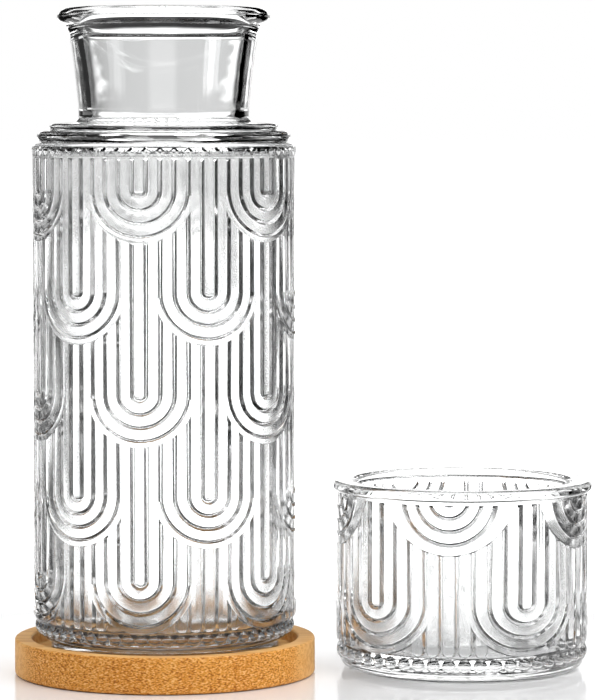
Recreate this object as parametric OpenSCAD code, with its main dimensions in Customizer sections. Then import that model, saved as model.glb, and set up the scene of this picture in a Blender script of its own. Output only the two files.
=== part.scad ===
// Bedside carafe with tumbler and coaster.
// The origin is the centre of the coaster's underside, +Z is up and -Y is the front. Sizes are millimetres.

/* [Coaster] */
// Thickness of the disc at its rim
coaster_h = 13.3; // [10:0.1:18]
// Depth of the recess that the carafe stands in
recess_h = 5; // [3:0.1:7]
// Gap all round between the recess wall and the carafe's widest diameter
recess_clear = 0.6; // [0.3:0.1:3]
// Width of the raised rim
coaster_rim_w = 6.5; // [4:0.1:12]
// Rounding of the disc's edges
coaster_edge_r = 0.9; // [0.6:0.1:2]

/* [Carafe] */
// Height of the carafe from its foot to the top of its lip
carafe_h = 239.1; // [220:0.5:260]
// Diameter of the body over its ribs
body_d = 98; // [94:0.5:104]
// Thickness of the body's wall behind the ribs
body_wall = 5.6; // [4:0.1:7]
// Thickness of the glass under the inside
carafe_base_t = 8.5; // [6.5:0.1:11]
// Diameter of the foot
carafe_foot_d = 85; // [80:0.5:90]
// Height of the plain foot below the bead band
carafe_foot_h = 4.5; // [3.6:0.1:6]
// Height of the bead band
carafe_band_h = 7.7; // [6.6:0.1:9]

/* [Shoulder and neck] */
// Height of the rounded turn from the ribs to the shoulder
shoulder_h = 3; // [2:0.1:4]
// Diameter of the round bead at the foot of the shoulder
lower_step_d = 94.2; // [92:0.2:96]
// Height of that bead
lower_step_h = 4.4; // [3.4:0.1:5.4]
// Diameter of the upper step, where the inverted tumbler rests
upper_step_d = 84.8; // [82:0.2:88]
// Height of the upper step
upper_step_h = 2.7; // [2:0.1:4]
// Height of the neck with its lip, above the upper step
neck_h = 42.7; // [36:0.1:50]
// Diameter of the neck at its foot
neck_foot_d = 63; // [59:0.5:66]
// Diameter of the neck under the lip
neck_top_d = 71; // [68:0.5:74]
// Thickness of the neck's wall
neck_wall = 4.8; // [4:0.1:7]
// Diameter over the lip
lip_d = 78.8; // [76:0.2:82]
// Height of the rolled lip
lip_h = 6.8; // [5.6:0.1:8]

/* [Tumbler] */
// Height of the tumbler
tumbler_h = 70.8; // [64:0.2:80]
// Gap all round between the tumbler's inside and the carafe's lip, so that it goes on as the lid
lid_clear = 0.8; // [0.5:0.1:2]
// Thickness of the tumbler's wall behind the ribs
tumbler_wall = 5.9; // [4.5:0.1:7]
// Thickness of the glass under the inside
tumbler_base_t = 8; // [6:0.1:10]
// Width by which the rim stands out beyond the ribs
tumbler_rim_out = 1.6; // [0.8:0.1:3]
// Height of the rim
tumbler_rim_h = 4; // [3:0.1:5]
// Height of the plain foot below the bead row
tumbler_foot_h = 3.4; // [2.8:0.1:5]
// Height of the bead row
tumbler_band_h = 5.8; // [5.4:0.1:7]
// Gap between the coaster and the tumbler that stands beside it
tumbler_gap = 7.4; // [4:0.2:30]
// Bearing of the tumbler from the coaster, from +X towards +Y
tumbler_bearing = 7.1; // [-30:0.1:30]

/* [Moulded arches] */
// Height of the ribs above the wall
rib_h = 1.4; // [0.8:0.1:1.6]
// Width of the ribs as a share of their pitch
rib_fill = 0.92; // [0.84:0.01:0.94]
// Columns of arches round the carafe
carafe_columns = 12; // [10:2:14]
// Columns of arches round the tumbler
tumbler_columns = 10; // [8:2:12]
// Bearing of the first column from the front, towards +X
first_column = -8.5; // [-30:0.1:30]
// Height between the carafe's rows of arches
carafe_row_pitch = 36.7; // [34:0.1:39]
// Height of the carafe's arch bottoms as a share of their half width
carafe_squash = 0.94; // [0.8:0.01:1]
// Height of the tumbler's arch bottoms as a share of their half width
tumbler_squash = 0.82; // [0.75:0.01:1]
// Diameter of the beads as a share of their pitch
bead_fill = 0.95; // [0.8:0.01:0.96]

/* [Hidden] */
glass_colour = [0.86, 0.92, 0.92, 0.5];
bamboo_colour = [0.80, 0.62, 0.36];
$fn = 96;

// Ribs from one column to the next
RIBS_PER_COLUMN = 5;
// Radius of the groove round an arch, and of the border below the lowest arches, in rib pitches
GROOVE_REACH = 3.56;
BORDER_REACH = 4.05;
// The row that the tumbler's rim cuts: size of its arches, radius of their border in rib pitches, and how far
// the arches' and the border's centres lie above the rim's lower edge
RIM_SHRINK = 0.82;
RIM_REACH = 4.55;
RIM_ROW_UP = 1.4;
RIM_BORDER_UP = 7.3;
// How far inside the neck's outside the lip's rounding starts
LIP_ROOT = 0.996;
// How deep ribs and beads are sunk into the wall
SUNK = 0.7;
// How far a rib's end slopes back for its height
END_SLOPE = 1.2;
// Width of a rib's crest as a share of its foot
CREST_SHARE = 0.7;

coaster_floor = coaster_h - recess_h;
recess_r = body_d / 2 + recess_clear;
coaster_r = recess_r + coaster_rim_w;

body_r = body_d / 2;
wall_r = body_r - rib_h;
body_in_r = wall_r - body_wall;
carafe_foot_r = carafe_foot_d / 2;
carafe_top = coaster_floor + carafe_h;
upper_step_z = carafe_top - neck_h;
lower_step_z = upper_step_z - upper_step_h;
shoulder_z = lower_step_z - lower_step_h;
carafe_ribs_top = shoulder_z - shoulder_h;
carafe_band_z = coaster_floor + carafe_foot_h;
carafe_ribs_foot = carafe_band_z + carafe_band_h;
lip_r = lip_d / 2;
neck_foot_r = neck_foot_d / 2;
neck_top_r = neck_top_d / 2;
neck_in_r = neck_foot_r - neck_wall;

tumbler_in_r = lip_r + lid_clear;
tumbler_wall_r = tumbler_in_r + tumbler_wall;
tumbler_body_r = tumbler_wall_r + rib_h;
tumbler_rim_r = tumbler_body_r + tumbler_rim_out;
tumbler_ribs_top = tumbler_h - tumbler_rim_h;
tumbler_ribs_foot = tumbler_foot_h + tumbler_band_h;
tumbler_foot_r = tumbler_body_r - 5;
tumbler_away = coaster_r + tumbler_rim_r + tumbler_gap;

// Points of an arc, from one angle to another
function arc(cx, cy, rx, ry, from, to, steps = 8) =
    [for (i = [0:steps]) let (a = from + (to - from) * i / steps) [cx + rx * cos(a), cy + ry * sin(a)]];

// Point at a place along the wall, seen from outside: across the wall, up it and out from the axis
function on_wall(column, crest_r, p) =
    let (turn = column + p[0] / crest_r * 180 / PI) [p[2] * sin(turn), -p[2] * cos(turn), p[1]];

// Rings of a rib bent round the wall at a column
function bent(rings, column, crest_r) =
    [for (ring = rings) [for (p = ring) on_wall(column, crest_r, p)]];

// Rounded turn from the foot of a glass up to its side
function base_turn(foot_r, foot_z, side_r, high) =
    let (share = cos(75), middle = (foot_r - share * side_r) / (1 - share))
    arc(middle, foot_z + high * sin(75), side_r - middle, high, -75, 0, 6);

// Section of a rib from half its width: four points across it, narrower at the crest
function section(half, slope, high = 1) =
    [[-half, -SUNK], [slope - half, rib_h * high], [half - slope, rib_h * high], [half, -SUNK]];

// Section of a rib for a pitch, shrunk by w and lowered by h
function rib_section(pitch, w = 1, h = 1) =
    let (half = pitch * rib_fill / 2 * w) section(half, half * (1 - CREST_SHARE), h);

// Section set across a path at a point: the path's inner side is along n
function across(points, at, n, wall) =
    [for (q = points) [at[0] + q[0] * n[0], at[1] + q[0] * n[1], wall + q[1]]];

// Section at the top of a leg, cut along the groove above it and sloped back to the crest
function leg_end(points, s, n, tops, wall) =
    [for (q = points)
        let (x = s + q[0] * n, back = q[1] > 0 ? END_SLOPE * q[1] : 0)
        [x, end_z(tops, x) - back, wall + q[1]]];

// Height where a leg ends: a plain height, or an arch's edge given as [across, up, radius, squash]
function end_z(tops, x) =
    is_num(tops) ? tops : tops[1] - tops[3] * sqrt(max(0, pow(tops[2], 2) - pow(abs(x) - tops[0], 2)));

// Rings round the bottom of an arch rib
function round_rings(k, zc, pitch, squash, wall) =
    let (full = rib_section(pitch), r = k * pitch, steps = 3 + k + min(k - 1, 1))
    [for (i = [0:steps])
        let (a = 180 + 180 * i / steps)
        across(full, [r * cos(a), zc + squash * r * sin(a)], [-cos(a), -squash * sin(a)], wall)];

// Rings of an arch rib: down the left leg, round the bottom and up the right leg
function arch_rings(k, zc, pitch, squash, tops, wall) = concat(
    [leg_end(rib_section(pitch), -k * pitch, 1, tops, wall)],
    round_rings(k, zc, pitch, squash, wall),
    [leg_end(rib_section(pitch), k * pitch, -1, tops, wall)]);

// Rings of a straight rib with a rounded bottom
function straight_rings(s, zc, pitch, squash, tops, wall) = [
    leg_end(rib_section(pitch), s, 1, tops, wall),
    across(rib_section(pitch), [s, zc - 0.05 * pitch], [1, 0], wall),
    across(rib_section(pitch, 0.45, 0.6), [s, zc - 0.33 * squash * pitch], [1, 0], wall)];

// Rings of the border under one of the lowest arches
function border_rings(zc, pitch, squash, wall) =
    let (half = (BORDER_REACH - GROOVE_REACH) * pitch / 2, r = GROOVE_REACH * pitch + half, steps = 8)
    [for (i = [0:steps])
        let (a = 212 + 116 * i / steps)
        across(section(half, 0.08 * pitch), [r * cos(a), zc + squash * r * sin(a)],
               [-cos(a), -squash * sin(a)], wall)];

// Rings of the border under an arch that the rim cuts, as wide as the ribs beside it leave room for
function rim_border_rings(zc, pitch, wall) =
    let (inner = GROOVE_REACH * RIM_SHRINK * pitch, up = RIM_BORDER_UP - RIM_ROW_UP, steps = 10)
    [for (i = [0:steps])
        let (a = 180 + 180 * i / steps,
             circle = up * sin(a) + sqrt(pow(RIM_REACH * pitch, 2) - pow(up * cos(a), 2)),
             outer = min(circle, 3.46 * pitch / max(abs(cos(a)), 0.1)),
             half = (outer - inner) / 2,
             middle = (outer + inner) / 2)
        across(section(half, 0.14 * pitch), [middle * cos(a), zc + middle * sin(a)],
               [-cos(a), -sin(a)], wall)];

// One arch of a row: a centre rib and three ribs nested round it
function arch(zc, pitch, squash, mid_tops, side_tops, wall) = concat(
    [straight_rings(0, zc, pitch, squash, mid_tops, wall)],
    [for (k = [1:3]) arch_rings(k, zc, pitch, squash, k < 2 ? mid_tops : side_tops, wall)]);

// One arch of the row that the rim cuts, with its border
function rim_arch(zc, pitch, wall) = concat(
    [for (k = [1:3]) round_rings(k, zc, RIM_SHRINK * pitch, 1, wall)],
    [rim_border_rings(zc, pitch, wall)]);

// All ribs of a wall as lists of rings, placed round the axis.
// Odd rows stand on the first column and every second one, even rows between them.
function wall_ribs(columns, rows, crest_r, ribs_foot, ribs_top, squash, rim_row) =
    let (turn = 360 / columns, pitch = crest_r * turn / RIBS_PER_COLUMN * PI / 180, wall = crest_r - rib_h,
         aside = RIBS_PER_COLUMN * pitch, reach = GROOVE_REACH * pitch, count = len(rows),
         edges = [for (row = [0:count - 1]) rim_row && row == 0
             ? [rows[0] + RIM_BORDER_UP - RIM_ROW_UP, (RIM_REACH + 0.06) * pitch, 1]
             : [rows[row], reach, squash]],
         under = concat([0], edges[count - 2]),
         beside = [aside, rows[count - 1], (BORDER_REACH + 0.04) * pitch, squash])
    concat(
        [for (row = [0:count - 1], c = [0:2:columns - 1])
            let (mid = row < 2 ? ribs_top : concat([0], edges[row - 2]),
                 side = row < 1 ? ribs_top : concat([aside], edges[row - 1]),
                 made = rim_row && row == 0
                     ? rim_arch(rows[0], pitch, wall)
                     : arch(rows[row], pitch, squash, mid, side, wall))
            for (rings = made) bent(rings, first_column + (c + row % 2) * turn, crest_r)],
        [for (c = [0:2:columns - 1], k = [-2:2])
            let (tops = abs(k) < 2 ? under : beside,
                 rings = straight_rings(k * pitch, ribs_foot + 0.4 * pitch, pitch, 1, tops, wall))
            bent(rings, first_column + (c + count % 2) * turn, crest_r)],
        [for (c = [0:2:columns - 1])
            let (rings = border_rings(rows[count - 1], pitch, squash, wall))
            bent(rings, first_column + (c + (count - 1) % 2) * turn, crest_r)]);

// Solid ribs from lists of rings of four points
module ribs(all) {
    starts = [for (i = 0, n = 0; i < len(all); n = n + len(all[i]) * 4, i = i + 1) n];
    polyhedron(
        points = [for (rings = all, ring = rings) each ring],
        faces = [for (i = [0:len(all) - 1]) let (s = starts[i], last = s + (len(all[i]) - 1) * 4) each concat(
            [[s + 3, s + 2, s + 1], [s + 3, s + 1, s]],
            [[last, last + 1, last + 2], [last, last + 2, last + 3]],
            [for (r = [0:len(all[i]) - 2], j = [0:3])
                let (a = s + r * 4 + j, b = s + r * 4 + (j + 1) % 4)
                each [[a, b, b + 4], [a, b + 4, a + 4]]])]);
}

// Ring of beads round the axis, below the ribs
module beads(count, crest_r, top_z) {
    r = crest_r * PI * bead_fill / (count + PI * bead_fill);
    for (i = [0:count - 1])
        rotate([0, 0, first_column + i * 360 / count])
            translate([0, r - crest_r, top_z - r - 0.1])
                sphere(r = r, $fn = 16);
}

// Profile of the coaster: a disc with a raised rim
module coaster_profile() {
    e = coaster_edge_r;
    polygon(concat(
        [[0, 0]],
        arc(coaster_r - e, e, e, e, -90, 0, 4),
        arc(coaster_r - e, coaster_h - e, e, e, 0, 90, 4),
        arc(recess_r + e, coaster_h - e, e, e, 90, 180, 4),
        [[recess_r, coaster_floor], [0, coaster_floor]]));
}

// Profile of the carafe's outside, filled to the axis
module carafe_outside() {
    foot_e = 1.6;
    step_e = upper_step_h / 2;
    bead_r = lower_step_h / 2;
    fillet = 3;
    lip_x = neck_top_r - LIP_ROOT;
    collar_e = shoulder_h * 0.66;
    polygon(concat(
        [[0, coaster_floor + 1.6], [carafe_foot_r - 9, coaster_floor + 1.2]],
        [[carafe_foot_r - 7, coaster_floor]],
        arc(carafe_foot_r - foot_e, coaster_floor + foot_e, foot_e, foot_e, -90, 0, 4),
        base_turn(carafe_foot_r, carafe_band_z, wall_r - 0.8, carafe_band_h * 0.55),
        [[wall_r, carafe_ribs_foot], [wall_r, carafe_ribs_top - 2.6], [body_r, carafe_ribs_top - 1.3]],
        arc(body_r - collar_e, shoulder_z - collar_e - 0.1, collar_e, collar_e, 0, 80, 5),
        arc(lower_step_d / 2 - bead_r, shoulder_z + bead_r, bead_r, bead_r, -80, 80, 8),
        arc(upper_step_d / 2 - step_e, lower_step_z + step_e, step_e, step_e, -60, 90, 6),
        arc(neck_foot_r + fillet, upper_step_z + fillet + 0.4, fillet, fillet, 270, 180, 5),
        [[neck_foot_r + (neck_top_r - neck_foot_r) * 0.36, upper_step_z + neck_h * 0.5]],
        arc(lip_x, carafe_top - lip_h / 2, lip_r - lip_x, lip_h / 2, -65, 90, 10),
        [[0, carafe_top]]));
}

// Profile of the carafe's inside
module carafe_inside() {
    floor_z = coaster_floor + carafe_base_t;
    turn_r = 9;
    bend_z = carafe_ribs_top - 2;
    lip_in = 3.4;
    throat_r = neck_top_r - neck_wall;
    polygon(concat(
        [[0, floor_z]],
        arc(body_in_r - turn_r, floor_z + turn_r, turn_r, turn_r, -90, 0, 6),
        arc(neck_in_r + 2, bend_z, body_in_r - neck_in_r - 2, shoulder_z - bend_z + 1.5, 0, 75, 7),
        [[neck_in_r, upper_step_z + 2], [throat_r, carafe_top - lip_h * 0.8]],
        arc(throat_r + lip_in, carafe_top - lip_in, lip_in, lip_in, 180, 100, 5),
        [[throat_r + lip_in, carafe_top + 1], [0, carafe_top + 1]]));
}

// Profile of the tumbler's outside, filled to the axis
module tumbler_outside() {
    rim_e = 1.6;
    under_e = 1.2;
    polygon(concat(
        [[0, 1.4], [tumbler_foot_r - 9, 1], [tumbler_foot_r - 7, 0]],
        base_turn(tumbler_foot_r, 0, tumbler_wall_r - 0.2, tumbler_foot_h * 1.05),
        [[tumbler_wall_r, tumbler_ribs_foot], [tumbler_wall_r, tumbler_ribs_top]],
        arc(tumbler_rim_r - under_e, tumbler_ribs_top + under_e, under_e, under_e, -90, 0, 4),
        arc(tumbler_rim_r - rim_e, tumbler_h - rim_e, rim_e, rim_e, 0, 90, 4),
        [[0, tumbler_h]]));
}

// Profile of the tumbler's inside
module tumbler_inside() {
    turn_r = 6;
    lip_e = 1.6;
    polygon(concat(
        [[0, tumbler_base_t]],
        arc(tumbler_in_r - turn_r, tumbler_base_t + turn_r, turn_r, turn_r, -90, 0, 6),
        arc(tumbler_in_r + lip_e, tumbler_h - lip_e, lip_e, lip_e, 180, 100, 4),
        [[tumbler_in_r + lip_e, tumbler_h + 1], [0, tumbler_h + 1]]));
}

// Turned disc that the carafe stands in
module coaster() {
    color(bamboo_colour) rotate_extrude() coaster_profile();
}

// Carafe, standing in the coaster's recess
module carafe() {
    pitch = body_r * 360 / carafe_columns / RIBS_PER_COLUMN * PI / 180;
    first_row = carafe_ribs_top - 2.7 * pitch;
    last_row = carafe_ribs_foot + BORDER_REACH * carafe_squash * pitch;
    rows = [for (i = [0:4]) i < 4 ? first_row - i * carafe_row_pitch : last_row];
    ribs_top = carafe_ribs_top - 0.3;
    color(glass_colour) difference() {
        union() {
            rotate_extrude() carafe_outside();
            ribs(wall_ribs(carafe_columns, rows, body_r, carafe_ribs_foot, ribs_top, carafe_squash, false));
            beads(carafe_columns * RIBS_PER_COLUMN, body_r - 0.6, carafe_ribs_foot);
        }
        rotate_extrude() carafe_inside();
    }
}

// Tumbler, standing beside the coaster
module tumbler() {
    pitch = tumbler_body_r * 360 / tumbler_columns / RIBS_PER_COLUMN * PI / 180;
    last_row = tumbler_ribs_foot + BORDER_REACH * tumbler_squash * pitch;
    rows = [tumbler_ribs_top + RIM_ROW_UP, last_row];
    color(glass_colour)
        translate([tumbler_away * cos(tumbler_bearing), tumbler_away * sin(tumbler_bearing), 0])
            difference() {
                union() {
                    rotate_extrude() tumbler_outside();
                    ribs(wall_ribs(tumbler_columns, rows, tumbler_body_r, tumbler_ribs_foot,
                                   tumbler_ribs_top - 0.3, tumbler_squash, true));
                    beads(tumbler_columns * RIBS_PER_COLUMN, tumbler_body_r - 0.2, tumbler_ribs_foot);
                }
                rotate_extrude() tumbler_inside();
            }
}

coaster();
carafe();
tumbler();
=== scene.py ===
"""Bedside carafe set: a carafe and a tumbler of moulded clear glass, and the carafe's bamboo coaster."""

import math

import bmesh
import bpy
from bpy.props import FloatProperty, FloatVectorProperty, IntProperty, PointerProperty
from mathutils import Matrix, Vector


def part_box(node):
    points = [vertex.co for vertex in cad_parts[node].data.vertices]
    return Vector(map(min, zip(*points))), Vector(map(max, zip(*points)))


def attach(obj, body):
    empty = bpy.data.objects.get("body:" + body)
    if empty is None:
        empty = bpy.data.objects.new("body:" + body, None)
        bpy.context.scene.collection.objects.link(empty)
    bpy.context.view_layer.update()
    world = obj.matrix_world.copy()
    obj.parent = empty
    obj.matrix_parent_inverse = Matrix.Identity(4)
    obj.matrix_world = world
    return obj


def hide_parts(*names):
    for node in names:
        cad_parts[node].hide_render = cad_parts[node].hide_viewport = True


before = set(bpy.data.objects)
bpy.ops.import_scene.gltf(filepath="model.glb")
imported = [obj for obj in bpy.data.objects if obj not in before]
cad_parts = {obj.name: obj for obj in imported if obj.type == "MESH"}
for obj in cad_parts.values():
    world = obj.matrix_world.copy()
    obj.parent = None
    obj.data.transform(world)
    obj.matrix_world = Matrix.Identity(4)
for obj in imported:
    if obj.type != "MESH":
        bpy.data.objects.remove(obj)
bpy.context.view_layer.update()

bl_info = {
    "name": "Bedside carafe set",
    "version": (1, 0, 0),
    "blender": (4, 5, 0),
    "location": "View3D > Sidebar > Carafe set",
    "description": "Moulds the carafe and its tumbler, turns the coaster and sets them on a pale stage",
    "category": "Add Mesh",
}

CARAFE_LOW, CARAFE_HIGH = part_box("carafe")
TUMBLER_LOW, TUMBLER_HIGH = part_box("tumbler")
COASTER_LOW, COASTER_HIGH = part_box("coaster")

MM = 0.001
WHITE = (1.0, 1.0, 1.0, 1.0)

# Faces round a turned outline
TURN_STEPS = 200
# Edges sharper than this stay crisp, in degrees
CRISP_EDGE = 38
# How far collars stand out beyond the ribs that end in them
PROUD = 0.02 * MM
# How far inside the foot's radius an underside's hollow is deep, and where it ends
HOLLOW_DEEP, HOLLOW_END = 9.0 * MM, 7.0 * MM
# Depth of the lip's rounding as a share of the lip's height
LIP_DEPTH = 0.72

# Ribs from one column of arches to the next, and ribs nested round the middle one of an arch
RIBS_PER_COLUMN = 5
NESTED = 3
# Half a rib's section from its foot to the middle of its crest, as shares of its half width and height
RIB_SHAPE = ((1.0, 0.0), (0.865, 0.44), (0.74, 0.84), (0.67, 0.965), (0.54, 0.995), (0.0, 1.0))
# How deep ribs are sunk into the wall, to join it, and how far a rib's tip ends below it
SUNK = 0.7 * MM
TIP_DIP = 0.12 * MM
# Turns from the tip of a rib's rounded end to its full width, in degrees
END_TURNS = (90, 68, 44, 20)
# A rounded end's length in rib pitches, its tip's least width, and the power that keeps it high
END_LENGTH, TIP_WIDTH, END_POWER = 0.42, 0.04, 0.8
# Steps round the bottoms of the nested arches, from the narrowest, and round a border
ARCH_STEPS = (19, 24, 29)
BORDER_STEPS = 24
# How far a border starts below the level of its arch's centre, in degrees
BORDER_DIP = 6
# How far legs run into the border above them, in rib pitches, and into the collar or rim above the relief
LEG_LAP = 0.25
TOP_LAP = 1.0 * MM
# Height of the ribs' top above the centres of the carafe's first row, in rib pitches
FIRST_ROW = 2.7
# Pits under the shoulder: half width, half height, depth, and place in rib pitches beside a rib's middle
PITS = {"carafe_diamond": (2.0 * MM, 1.8 * MM, 1.3 * MM, 0.5),
        "carafe_notch": (0.35 * MM, 1.0 * MM, 0.7 * MM, 0.0)}
# Height of their middles above the ribs' top, and the sizes of their floors and mouths as shares
PITS_UP = 0.1 * MM
PIT_FLOOR, PIT_MOUTH = 0.45, 1.275

# Glass: roughness where it is polished and where a plunger shaped its inside, and the latter's margin
POLISHED, PLUNGER, PLUNGER_MARGIN = 0.0, 0.2, 1.0 * MM
GLASS_IOR = 1.5
# Fineness of the mould's ripple and of its fine marks, and the ripple's strength and depth
RIPPLE_SCALE, FINE_SCALE = 55.0, 260.0
RIPPLE_STRENGTH, RIPPLE_DEPTH = 0.06, 2.0 * MM
# Limits of the noise, and what it gives there: the glass's two tints, and a factor of its roughness
RIPPLE_TINT, TINTS = (0.35, 0.65), ((0.984, 0.99, 0.99, 1.0), (0.996, 0.999, 0.999, 1.0))
FINE_ROUGHNESS = (0.3, 0.7, 0.85, 1.15)

# Bamboo: width of its strips, and fineness of its fibres, of their leaning ends and of broad shades
STRIP_WIDTH = 6.5 * MM
FIBRE_SCALE, BROAD_SCALE = (30.0, 620.0, 620.0), 30.0
ENDS_SCALE, ENDS_LEAN = (1050.0, 1050.0, 2300.0), (0.0, 0.5, 0.0)
# Shares of strips and broad shades in the wood's tone
STRIP_SHARE, BROAD_SHARE = 0.45, 0.55
# Limits of the noise, and the share of a colour or the roughness there
PALE_FIBRES, FIBRE_ROUGHNESS = (0.33, 0.6, 0.2, 0.95), (0.3, 0.7, 0.42, 0.6)
DARK_ENDS, PALE_ENDS = (0.49, 0.35, 0.0, 1.0), (0.52, 0.66, 0.0, 0.8)
# Where fibre ends start and are full: depth inside the radius, and place across as its share
ENDS_DEPTH, ENDS_ACROSS = (0.9 * MM, 0.4 * MM), (0.99, 0.8)
GRAIN_STRENGTH, GRAIN_DEPTH, BAMBOO_SPECULAR = 0.2, 0.3 * MM, 0.25

# Edges of the studio's screens, each where it starts and where it is full. Heights are those of directions,
# from -1 straight down to 1 straight up. Bearings are in radians from straight behind, positive on the right.
SCREEN_FOOT, SCREEN_TOP, RING_FOOT = (-0.36, -0.3), (0.8, 0.74), (0.1, 0.2)
WINDOW_SIDE, FRONT_SIDE = (0.22, 0.42), (1.4, 1.9)
# From front to back or left to right, as a part of a direction
MIDDLE = (-0.2, 0.2)
# Brightness of the screens in front and, with its edge, of the light from below, as shares
FRONT_SHARE, LOW_LIGHT = 0.5, (-0.36, -0.26, 0.4, 1.0)
# Backdrop level with the neck: its heights, and the bearings and brightness of its parts
NECK_FOOT, NECK_TOP = (-0.03, 0.0), (0.12, 0.06)
NECK_GREY, NECK_DARK = (-0.6, -0.06), 0.1
NECK_BRIGHTER, NECK_WHITE, NECK_BLACK = (-0.06, 0.4, 0.0, 0.1), (-0.64, -0.7), (0.58, 0.62, 0.0, 0.9)
# Lamps low in front: their heights, and bearings of the right one and the dimmer left one
STRIP_FOOT, STRIP_TOP = (-0.34, -0.3), (-0.12, -0.16)
RIGHT_STRIP, LEFT_STRIP = ((1.76, 1.79), (2.08, 2.05)), ((-1.84, -1.88, 0.0, 0.4), (-2.2, -2.14))

# Table top: its size, how far it lies below the pieces, its gloss and the darkest share of its mottling
TABLE_RADIUS, TABLE_STEPS, TABLE_DROP = 0.2, 96, 0.3 * MM
TABLE_ROUGHNESS, TABLE_SPECULAR = 0.13, 0.5
MOTTLE_SCALE, MOTTLE_DARK = 18.0, 0.985
# Where it fades to white: round its middle and, through glass, behind the object, where it is brighter
WHITE_ROUND, WHITE_BEHIND, BEHIND_GAIN = (0.12, 0.19), (0.05, 0.09), 0.5
# Key lamp: size in metres, power in watts, place, and turn in degrees
KEY_SIZE, KEY_POWER = 0.9, 9.0
KEY_PLACE, KEY_TURN = (0.7, -0.5, 1.0), (30, 32, 0)
# Width of the camera's sensor in millimetres
SENSOR_WIDTH = 36.0


def length(name, description, metres):
    """A size that the user may change."""
    return FloatProperty(name=name, description=description, default=metres, min=0.0, precision=4,
                         unit="LENGTH")


def share(name, description, value, high=1.0):
    """A share or plain factor that the user may change."""
    return FloatProperty(name=name, description=description, default=value, min=0.0, max=high,
                         subtype="FACTOR")


def colour(name, description, value):
    """A colour that the user may change."""
    return FloatVectorProperty(name=name, description=description, default=value, size=4, min=0.0, max=1.0,
                               subtype="COLOR")


class CarafeSetRelief(bpy.types.PropertyGroup):
    """Moulded arches, shared by the carafe and the tumbler."""

    rib_height: length("Rib height", "Height of the ribs above the wall", 1.4 * MM)
    rib_fill: share("Rib width", "Width of the ribs as a share of their pitch", 0.985)
    border_reach: FloatProperty(name="Border reach", description="Radius of an arch's border in rib pitches",
                                default=4.05, min=3.8, max=4.4)
    border_height: share("Border height", "Height of the border as a share of the ribs' height", 0.985)
    bead_fill: share("Bead width", "Diameter of the beads as a share of their pitch", 0.94)
    bead_rise: share("Bead rise", "Height of the beads as a share of their radius", 0.6)
    first_bearing: FloatProperty(
        name="First column", description="Bearing of the first column from the front",
        default=math.radians(-8.5), subtype="ANGLE")


class CarafeSetCarafe(bpy.types.PropertyGroup):
    """Sizes of the carafe."""

    foot: length("Foot", "Height of the underside above the table", CARAFE_LOW.z)
    top: length("Top", "Height of the lip's top above the table", CARAFE_HIGH.z)
    body_radius: length("Body radius", "Radius of the body over its ribs", 49.0 * MM)
    wall: length("Wall", "Thickness of the body's wall behind the ribs", 5.6 * MM)
    base: length("Base", "Thickness of the glass under the inside", 8.5 * MM)
    foot_radius: length("Foot radius", "Radius of the plain foot", 42.5 * MM)
    foot_height: length("Foot height", "Height of the plain foot", 4.5 * MM)
    band_height: length("Bead band", "Height of the bead band above the foot", 7.7 * MM)
    shoulder_height: length("Shoulder turn", "Height of the turn from the ribs to the shoulder", 3.0 * MM)
    lower_radius: length("Lower step radius", "Radius of the round bead at the shoulder", 47.1 * MM)
    lower_height: length("Lower step height", "Height of that bead", 4.4 * MM)
    upper_radius: length("Upper step radius", "Radius of the step that the tumbler rests on", 42.4 * MM)
    upper_height: length("Upper step height", "Height of that step", 2.7 * MM)
    neck_height: length("Neck height", "Height of the neck with its lip", 42.7 * MM)
    neck_foot_radius: length("Neck foot radius", "Radius of the neck at its foot", 31.5 * MM)
    neck_top_radius: length("Neck top radius", "Radius of the neck under the lip", 35.5 * MM)
    neck_wall: length("Neck wall", "Thickness of the neck's wall", 4.8 * MM)
    lip_radius: length("Lip radius", "Radius over the rolled lip", 39.4 * MM)
    lip_height: length("Lip height", "Height of the rolled lip", 6.8 * MM)
    row_pitch: length("Row pitch", "Height between two rows of arches", 36.7 * MM)
    squash: share("Arch bottoms", "Height of the arch bottoms as a share of their half width", 0.94)
    rows: IntProperty(name="Rows", description="Rows of arches", default=5, min=3, max=7)
    columns: IntProperty(name="Columns", description="Columns of arches", default=12, min=8, max=16)


class CarafeSetTumbler(bpy.types.PropertyGroup):
    """Sizes of the tumbler."""

    height: length("Height", "Height of the tumbler", TUMBLER_HIGH.z - TUMBLER_LOW.z)
    inside_radius: length("Inside radius", "Radius of the inside, which goes over the carafe's lip",
                          40.2 * MM)
    wall: length("Wall", "Thickness of the wall behind the ribs", 5.9 * MM)
    base: length("Base", "Thickness of the glass under the inside", 8.0 * MM)
    rim_out: length("Rim overhang", "Width by which the rim stands out beyond the ribs", 1.59 * MM)
    rim_height: length("Rim height", "Height of the rim", 4.0 * MM)
    foot_in: length("Foot inset", "Width by which the foot stands in from the ribs", 5.0 * MM)
    foot_height: length("Foot height", "Height of the plain foot", 3.4 * MM)
    band_height: length("Bead band", "Height of the bead row above the foot", 5.8 * MM)
    squash: share("Arch bottoms", "Height of the arch bottoms as a share of their half width", 0.82)
    rim_row_up: length("Rim row", "Height of the rim row's arch centres above the rim's lower edge", 1.4 * MM)
    rim_row_size: share("Rim row size", "Size of the arches that the rim cuts, to the others", 0.82)
    rim_border_up: length("Rim border", "Height of their borders' centres above the rim's lower edge",
                          7.3 * MM)
    rim_border_reach: FloatProperty(
        name="Rim border reach", description="Radius of these borders in rib pitches",
        default=4.6, min=4.0, max=5.0)
    columns: IntProperty(name="Columns", description="Columns of arches", default=10, min=6, max=14)


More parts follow.
